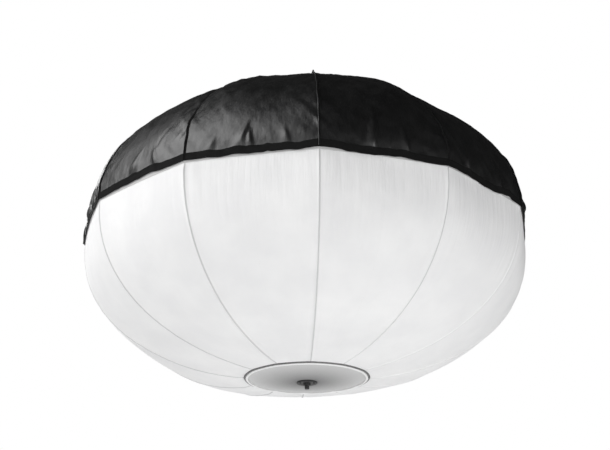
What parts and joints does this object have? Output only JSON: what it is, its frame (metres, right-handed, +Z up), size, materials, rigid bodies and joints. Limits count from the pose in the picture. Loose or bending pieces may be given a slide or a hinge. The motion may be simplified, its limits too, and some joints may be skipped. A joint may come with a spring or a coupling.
{
  "type": "lighting balloon",
  "caption": "Hanging inflatable lighting balloon: gored white diffuser envelope with a black top cover, inner mast, lamp and blower, and a stand spigot below.",
  "frame": {"origin": "the point inside the swivel eye where the hook or rope bears", "axes": "+Z up along the balloon's axis; a seam of the envelope faces -Y; the blower is on the +X side and the control box on the -X side"},
  "size_m": [1.6034, 1.6034, 1.1654],
  "materials": {
    "white_cloth": "matte",
    "black_cloth": "satin",
    "black_tape": "matte",
    "grey_tape": "matte",
    "grey_cloth": "matte",
    "hoop": "matte",
    "black_metal": "satin",
    "aluminium": "satin",
    "driver_case": "satin",
    "steel": "satin",
    "motor": "satin",
    "black_plastic": "matte",
    "foam": "matte",
    "rubber": "matte",
    "led_board": "satin",
    "clear_guard": "gloss"
  },
  "bodies": {
    "balloon": {"envelope": "white_cloth", "top_cover": "black_cloth", "hem_tape": "black_tape", "loop_tape": "grey_tape", "bottom_panel": "grey_cloth", "bottom_hoop": "hoop", "bottom_flange": "black_metal", "lock_collar": "black_metal", "spigot": "black_metal", "flange_screw_1": "black_metal", "flange_screw_2": "black_metal", "flange_screw_3": "black_metal", "mast_foot": "aluminium", "crown_plate": "aluminium", "crown_clamp_ring": "aluminium", "mast": "aluminium", "crown_mast_collar": "aluminium", "lamp_heat_sink": "aluminium", "driver_bracket": "aluminium", "lamp_collar_top": "aluminium", "lamp_collar_bottom": "aluminium", "led_driver": "driver_case", "spigot_nut": "steel", "crown_bolt_1": "steel", "crown_bolt_2": "steel", "crown_bolt_3": "steel", "crown_bolt_4": "steel", "crown_bolt_5": "steel", "crown_bolt_6": "steel", "lifting_plug": "steel", "check_flap_pin": "steel", "inlet_cover_pin": "steel", "lid_screw_1": "steel", "lid_screw_2": "steel", "blower_motor": "motor", "blower_housing": "black_plastic", "intake_grille": "black_plastic", "control_box": "black_plastic", "control_box_lid": "black_plastic", "power_inlet": "black_plastic", "guard_cap_top": "black_plastic", "guard_cap_bottom": "black_plastic", "intake_filter": "foam", "crown_gasket": "rubber", "cable_gland": "rubber", "power_cable": "rubber", "lamp_cable": "rubber", "led_board_1": "led_board", "led_board_2": "led_board", "led_board_3": "led_board", "led_board_4": "led_board", "lamp_guard": "clear_guard"},
    "swivel_eye": {"swivel_eye": "steel", "swivel_nut": "steel"},
    "impeller": {"impeller": "black_plastic", "motor_shaft": "steel"},
    "check_flap": {"check_flap": "black_plastic"},
    "inlet_cover": {"inlet_cover": "rubber"},
    "power_switch": {"power_switch": "black_plastic"},
    "dimmer_knob": {"dimmer_knob": "black_plastic"}
  },
  "joints": [
    {"name": "eye_turn", "type": "hinge", "parent": "balloon", "child": "swivel_eye", "pos_m": [0, 0, -0.05], "axis": [0, 0, 1], "continuous": true},
    {"name": "impeller_spin", "type": "hinge", "parent": "balloon", "child": "impeller", "pos_m": [0.066, 0, -0.12], "axis": [0, 0, 1], "continuous": true},
    {"name": "check_flap_swing", "type": "hinge", "parent": "balloon", "child": "check_flap", "pos_m": [0.066, -0.0165, -0.1546], "axis": [1, 0, 0], "range_deg": [0, 75], "stiffness_Nm_per_rad": 0.004, "springref_deg": -34.38},
    {"name": "inlet_cover_swing", "type": "hinge", "parent": "balloon", "child": "inlet_cover", "pos_m": [-0.1124, 0, -0.0561], "axis": [0, 1, 0], "range_deg": [0, 160], "stiffness_Nm_per_rad": 0.004, "springref_deg": -28.65},
    {"name": "power_switch_rock", "type": "hinge", "parent": "balloon", "child": "power_switch", "pos_m": [-0.058, -0.024, -0.0497], "axis": [1, 0, 0], "range_deg": [0, 16]},
    {"name": "dimmer_knob_turn", "type": "hinge", "parent": "balloon", "child": "dimmer_knob", "pos_m": [-0.058, 0.02, -0.045], "axis": [0, 0, -1], "range_deg": [0, 270]}
  ]
}
